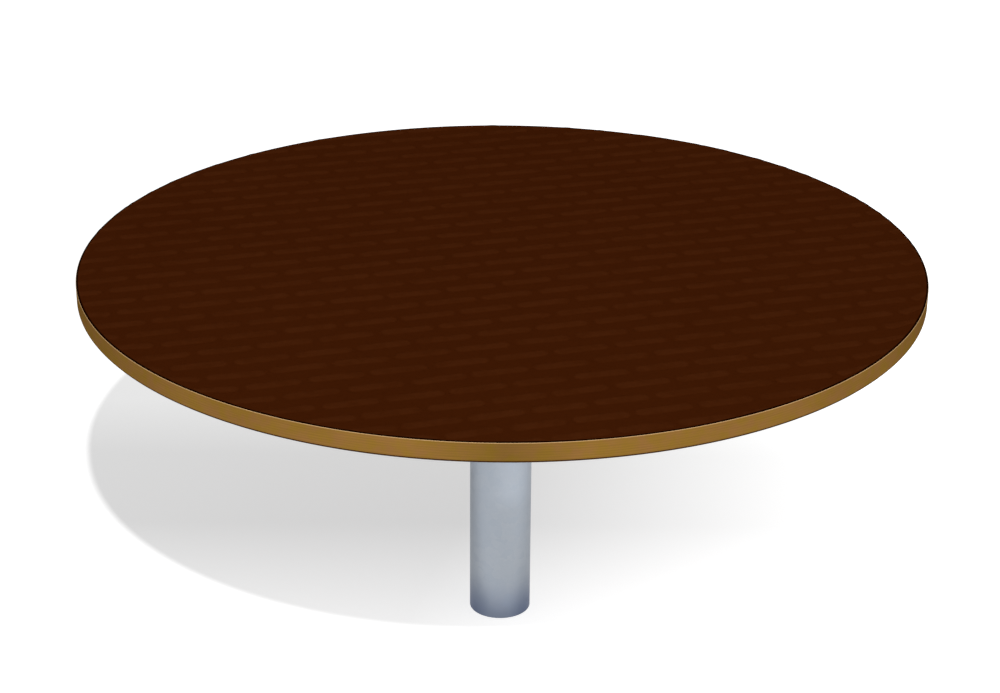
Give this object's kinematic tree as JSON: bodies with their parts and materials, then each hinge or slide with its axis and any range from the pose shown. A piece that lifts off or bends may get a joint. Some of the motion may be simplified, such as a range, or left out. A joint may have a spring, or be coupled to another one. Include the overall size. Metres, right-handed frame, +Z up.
{
  "type": "balance platform",
  "caption": "Round anti-slip board that rocks every way on crossed rubber torsion units over a single steel ground post.",
  "frame": {"origin": "centre of the post's plain lower end", "axes": "+Z up along the post to the middle of the board, +X along the lower torsion unit and the through arm, +Y along the upper torsion unit and away from the viewer"},
  "size_m": [0.9999, 1, 0.475],
  "materials": {
    "anti_slip_film": "embossed brown phenolic film",
    "smooth_film": "smooth brown phenolic film",
    "sealed_plywood": "birch plywood, edge sealed in ochre",
    "galvanised_steel": "hot-dip galvanised, dull",
    "zinc_plated_steel": "bright zinc plated",
    "black_rubber": "matt",
    "black_plastic": "fine grain"
  },
  "bodies": {
    "post": {"post_tube": "galvanised_steel", "head_plate": "galvanised_steel", "lower_ear_left": "galvanised_steel", "lower_ear_right": "galvanised_steel", "lower_core": "galvanised_steel", "lower_core_bolt": "zinc_plated_steel", "lower_core_washers": "zinc_plated_steel", "lower_core_nut": "zinc_plated_steel", "lower_stop_pads": "black_rubber"},
    "cross_unit": {"lower_housing": "galvanised_steel", "lower_rubber_cords": "black_rubber", "upper_housing": "galvanised_steel", "upper_rubber_cords": "black_rubber"},
    "platform": {"upper_core": "galvanised_steel", "upper_core_bolt": "zinc_plated_steel", "upper_core_washers": "zinc_plated_steel", "upper_core_nut": "zinc_plated_steel", "upper_ear_front": "galvanised_steel", "upper_ear_rear": "galvanised_steel", "upper_stop_pads": "black_rubber", "hub_plate": "galvanised_steel", "through_arm": "galvanised_steel", "front_arm": "galvanised_steel", "rear_arm": "galvanised_steel", "arm_end_caps": "black_plastic", "board_core": "sealed_plywood", "anti_slip_facing": "anti_slip_film", "underside_facing": "smooth_film", "board_inserts": "zinc_plated_steel", "board_bolts": "zinc_plated_steel", "board_washers": "zinc_plated_steel"}
  },
  "joints": [
    {"name": "fore_aft_tilt", "type": "hinge", "parent": "post", "child": "cross_unit", "pos_m": [0, 0, 0.296], "axis": [1, 0, 0], "range_deg": [-8, 8], "stiffness_Nm_per_rad": 1500, "deforming": ["lower_rubber_cords"]},
    {"name": "side_tilt", "type": "hinge", "parent": "cross_unit", "child": "platform", "pos_m": [0, 0, 0.366], "axis": [0, 1, 0], "range_deg": [-8, 8], "stiffness_Nm_per_rad": 1500, "deforming": ["upper_rubber_cords"]}
  ]
}
